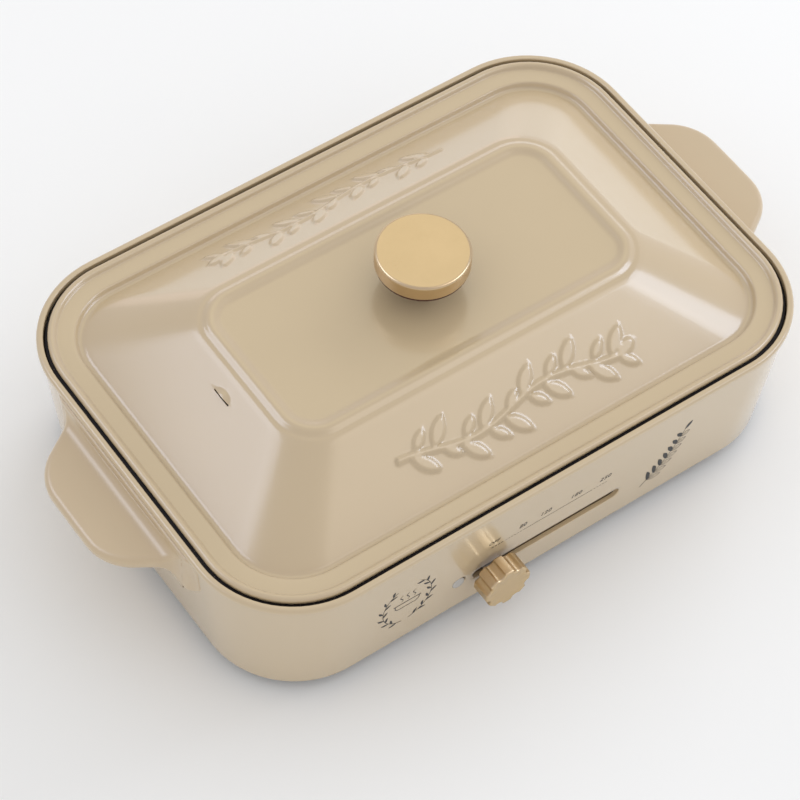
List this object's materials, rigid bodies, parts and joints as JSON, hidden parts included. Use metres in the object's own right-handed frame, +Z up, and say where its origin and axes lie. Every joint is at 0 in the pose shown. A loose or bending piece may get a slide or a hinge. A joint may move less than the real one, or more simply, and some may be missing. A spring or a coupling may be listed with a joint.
{
  "type": "tabletop electric griddle",
  "caption": "Rectangular tabletop electric griddle with a lift-off pressed lid, centre knob, coated cooking plate, side handles and a sliding heat lever.",
  "frame": {"origin": "middle of the bounding box on the plane of the feet's soles", "axes": "+Z up; +X along the length towards the right handle; +Y to the back, so the heat lever faces -Y"},
  "size_m": [0.3734, 0.2264, 0.125],
  "materials": {
    "paint": "smooth semi-gloss beige enamel",
    "grip_paint": "heat-proof resin lacquered like the housing",
    "gold": "fine satin gold plating",
    "dark_resin": "dark brown heat-proof resin",
    "nonstick": "dark non-stick coating with a fine sparkle",
    "steel": "bright zinc plate",
    "sheet": "plain rolled sheet",
    "sheath": "heat-tinted sheath",
    "ceramic_white": "pale steatite ceramic",
    "rubber_dark": "moulded rubber",
    "black_plastic": "moulded resin",
    "base_plastic": "fine grained cover",
    "paint_plastic": "moulded resin coloured like the housing",
    "acetal": "milky low-friction resin",
    "copper": "drawn copper",
    "brass": "bare brass",
    "lens": "frosted clear lens",
    "bulb_glass": "clear glass",
    "wire_red": "silicone insulation",
    "wire_white": "silicone insulation"
  },
  "bodies": {
    "base": {"outer_housing": "paint", "left_handle": "grip_paint", "right_handle": "grip_paint", "handle_screws": "steel", "base_cover": "base_plastic", "feet": "rubber_dark", "foot_screws": "steel", "reflector_pan": "sheet", "pan_screws": "steel", "heating_element": "sheath", "element_clips": "steel", "element_bushes": "ceramic_white", "element_terminals": "brass", "lever_guide": "paint_plastic", "guide_screws": "steel", "thermostat_body": "black_plastic", "thermostat_bracket": "sheet", "thermostat_screws": "steel", "thermostat_bulb": "copper", "bulb_clips": "steel", "capillary_tube": "copper", "thermal_fuse": "steel", "fuse_clip": "sheet", "fuse_screws": "steel", "pilot_lens": "lens", "lamp_holder": "black_plastic", "neon_bulb": "bulb_glass", "inlet_socket": "black_plastic", "inlet_pins": "brass", "inlet_magnets": "steel", "inlet_screws": "steel", "live_wire": "wire_red", "switched_wire": "wire_red", "element_wire": "wire_red", "neutral_wire": "wire_white", "lamp_leads": "wire_white"},
    "lid": {"lid_shell": "paint", "lid_knob": "gold", "knob_insulator": "dark_resin", "knob_gasket": "rubber_dark", "knob_washer": "steel", "knob_screw": "steel"},
    "plate": {"griddle_plate": "nonstick"},
    "lever": {"lever_knob": "gold", "lever_stem": "steel", "lever_carriage": "acetal", "lever_rack": "acetal", "rack_screws": "steel"},
    "selector": {"drive_pinion": "acetal", "thermostat_spindle": "brass", "spindle_clip": "steel"}
  },
  "joints": [
    {"name": "plate_lift", "type": "slide", "parent": "base", "child": "plate", "axis": [0, 0, 1], "range_m": [0, 0.08]},
    {"name": "lid_lift", "type": "slide", "parent": "plate", "child": "lid", "axis": [0, 0, 1], "range_m": [0, 0.12]},
    {"name": "heat_lever", "type": "slide", "parent": "base", "child": "lever", "axis": [1, 0, 0], "range_m": [0, 0.063]},
    {"name": "selector_turn", "type": "hinge", "parent": "base", "child": "selector", "pos_m": [0, -0.07174, 0.025], "axis": [0, 0, 1], "range_deg": [0, 306]}
  ],
  "couplings": [
    {"joint": "selector_turn", "follows": "heat_lever", "rad_per_m": 83.333}
  ]
}
